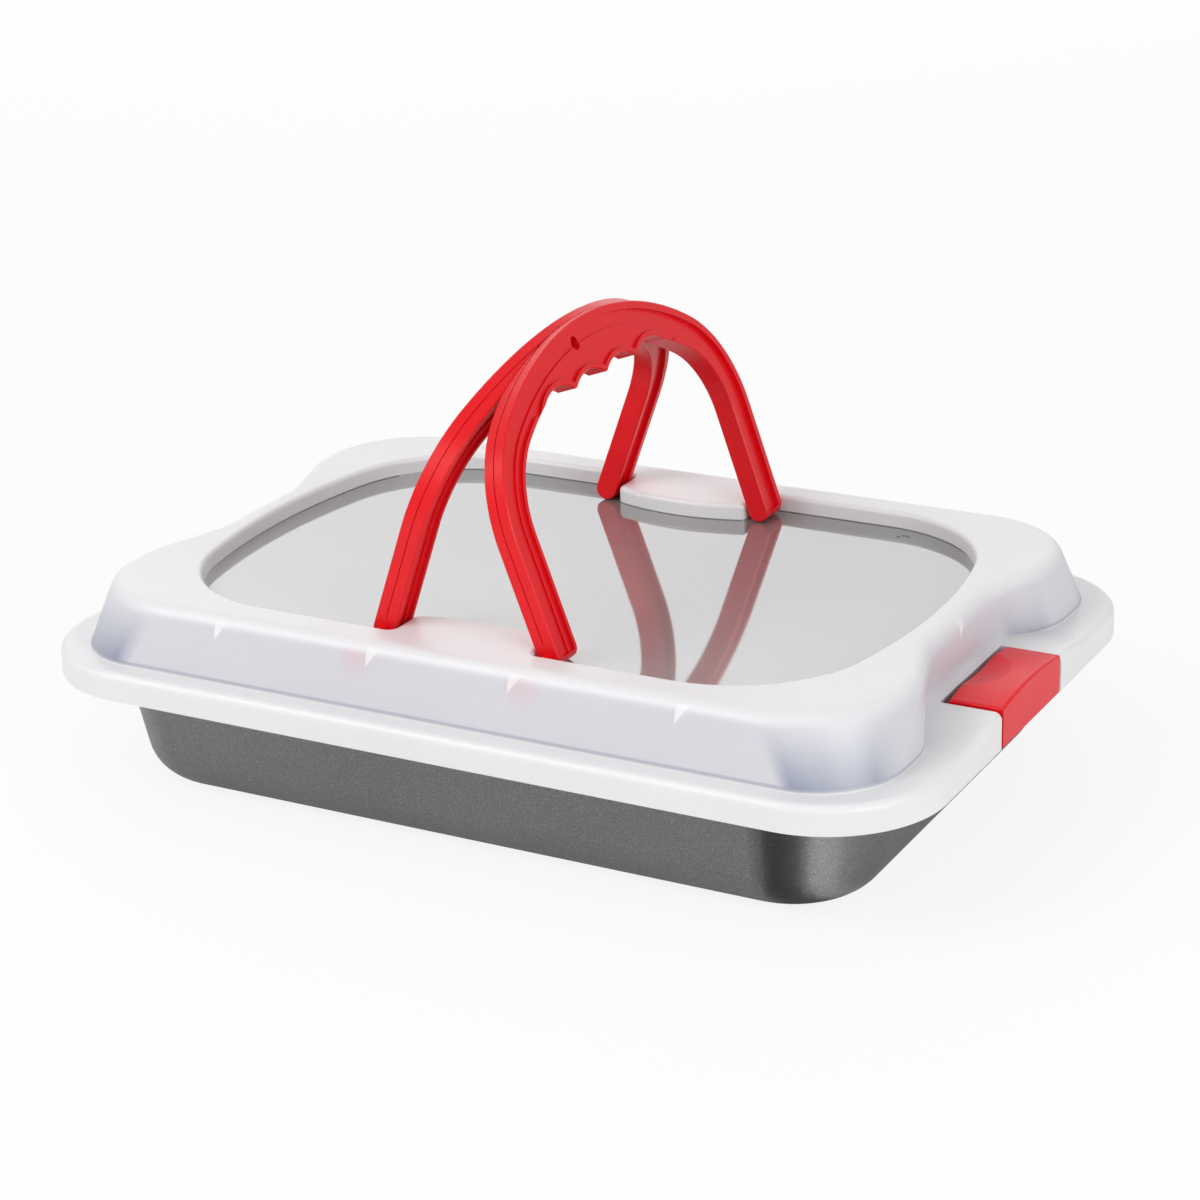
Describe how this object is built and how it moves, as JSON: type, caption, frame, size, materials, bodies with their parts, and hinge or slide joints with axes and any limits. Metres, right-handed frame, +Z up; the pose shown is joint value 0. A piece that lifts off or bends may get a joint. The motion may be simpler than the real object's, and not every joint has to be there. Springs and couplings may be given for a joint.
{
  "type": "baking pan with lid",
  "caption": "Rectangular steel baking pan with a clear domed carrying lid, folding red carrying arches with finger grips, and hinged red end clips.",
  "frame": {"origin": "under the middle of the pan, on the surface it stands on", "axes": "+Z up, X along the pan's length, Y across its width"},
  "size_m": [0.42, 0.29, 0.2063],
  "materials": {
    "pan_coating": "dark grey non-stick coating, satin",
    "lid_plastic": "translucent milky plastic with a clear window",
    "red_plastic": "satin moulded plastic"
  },
  "bodies": {
    "pan": {"pan": "pan_coating"},
    "lid": {"lid": "lid_plastic"},
    "right_handle": {"right_handle": "red_plastic"},
    "left_handle": {"left_handle": "red_plastic"},
    "right_clip": {"right_clip": "red_plastic"},
    "left_clip": {"left_clip": "red_plastic"}
  },
  "joints": [
    {"name": "lid_lift", "type": "slide", "parent": "pan", "child": "lid", "axis": [0, 0, 1], "range_m": [0, 0.11]},
    {"name": "right_handle_fold", "type": "hinge", "parent": "lid", "child": "right_handle", "pos_m": [0.0399, 0, 0.0909], "axis": [0, 1, 0], "range_deg": [0, 109]},
    {"name": "left_handle_fold", "type": "hinge", "parent": "lid", "child": "left_handle", "pos_m": [-0.0399, 0, 0.0909], "axis": [0, -1, 0], "range_deg": [0, 109]},
    {"name": "right_clip_swing", "type": "hinge", "parent": "lid", "child": "right_clip", "pos_m": [0.19, 0, 0.0645], "axis": [0, -1, 0], "range_deg": [0, 95]},
    {"name": "left_clip_swing", "type": "hinge", "parent": "lid", "child": "left_clip", "pos_m": [-0.19, 0, 0.0645], "axis": [0, 1, 0], "range_deg": [0, 95]}
  ]
}
